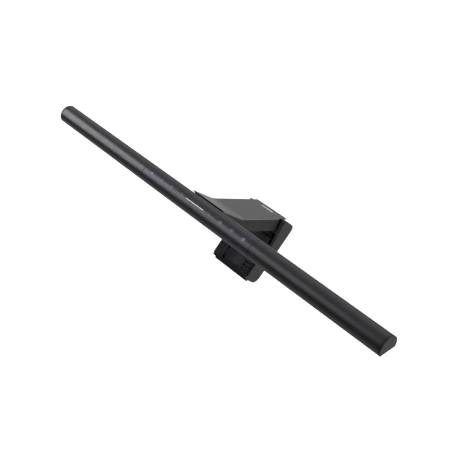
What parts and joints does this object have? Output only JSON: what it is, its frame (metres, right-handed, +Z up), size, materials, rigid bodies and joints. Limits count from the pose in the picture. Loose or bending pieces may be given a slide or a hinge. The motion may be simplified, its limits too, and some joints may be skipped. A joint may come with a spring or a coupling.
{
  "type": "monitor light bar",
  "caption": "Long D-section lamp bar that turns in a clamp hooking over a screen's top edge, held by a sprung counterweight arm with a ribbed grip pad behind it.",
  "frame": {"origin": "centre of the seat: the underside of the clamp's seat pad, where it rests on the screen's top edge, midway along the bar", "axes": "+X along the light bar, to the user's right; +Y away from the user, towards the screen's back; +Z up"},
  "size_m": [0.5, 0.1392, 0.0887],
  "materials": {
    "bar_housing": "fine bead-blasted, dark anodised",
    "control_panel": "fine satin",
    "slider_light_guide": "clear, frosted",
    "touch_board": "solder mask over glass-epoxy",
    "touch_pads": "plain",
    "board_chips": "moulded",
    "led_board": "white solder mask",
    "led_emitters": "phosphor gel",
    "reflector_strips": "white",
    "diffuser": "opal",
    "end_cap_left": "fine satin",
    "end_cap_right": "fine satin",
    "top_cover": "fine bead-blasted, dark anodised",
    "cover_screws": "plain",
    "clamp_housing": "fine spark texture",
    "seat_pad": "matt",
    "lip_pad": "matt",
    "cradle_lining": "friction liner",
    "hinge_shoe": "plain",
    "shoe_screws": "plain",
    "rear_bracket": "die cast",
    "bracket_screws": "plain",
    "torsion_springs": "drawn wire",
    "neck_lead": "matt",
    "hinge_pin": "ground",
    "hinge_washers": "plain",
    "arm_shell": "fine spark texture",
    "weight_block": "as cast",
    "weight_screws": "plain",
    "pad_carrier": "fine spark texture",
    "carrier_screws": "plain",
    "grip_pad": "matt silicone",
    "usb_board": "solder mask over glass-epoxy",
    "usb_shell": "plain",
    "usb_tongue": "moulded",
    "arm_lead": "matt"
  },
  "bodies": {
    "clamp": {"clamp_housing": "clamp_housing", "top_cover": "top_cover", "cover_screws": "cover_screws", "seat_pad": "seat_pad", "lip_pad": "lip_pad", "cradle_lining": "cradle_lining", "hinge_shoe": "hinge_shoe", "shoe_screws": "shoe_screws", "rear_bracket": "rear_bracket", "bracket_screws": "bracket_screws", "torsion_springs": "torsion_springs", "neck_lead": "neck_lead"},
    "light_bar": {"bar_housing": "bar_housing", "control_panel": "control_panel", "slider_light_guide": "slider_light_guide", "touch_board": "touch_board", "touch_pads": "touch_pads", "board_chips": "board_chips", "led_board": "led_board", "led_emitters": "led_emitters", "reflector_strips": "reflector_strips", "diffuser": "diffuser", "end_cap_left": "end_cap_left", "end_cap_right": "end_cap_right"},
    "rear_arm": {"arm_shell": "arm_shell", "hinge_pin": "hinge_pin", "hinge_washers": "hinge_washers", "weight_block": "weight_block", "weight_screws": "weight_screws", "pad_carrier": "pad_carrier", "carrier_screws": "carrier_screws", "grip_pad": "grip_pad", "usb_board": "usb_board", "usb_shell": "usb_shell", "usb_tongue": "usb_tongue", "arm_lead": "arm_lead"}
  },
  "joints": [
    {"name": "bar_tilt", "type": "hinge", "parent": "clamp", "child": "light_bar", "pos_m": [0, -0.079, 0.0146], "axis": [1, 0, 0], "range_deg": [-35, 3]},
    {"name": "arm_swing", "type": "hinge", "parent": "clamp", "child": "rear_arm", "pos_m": [0, 0.0397, 0.0046], "axis": [1, 0, 0], "range_deg": [0, 45], "stiffness_Nm_per_rad": 0.3, "springref_deg": -45.84, "deforming": ["torsion_springs"]}
  ]
}
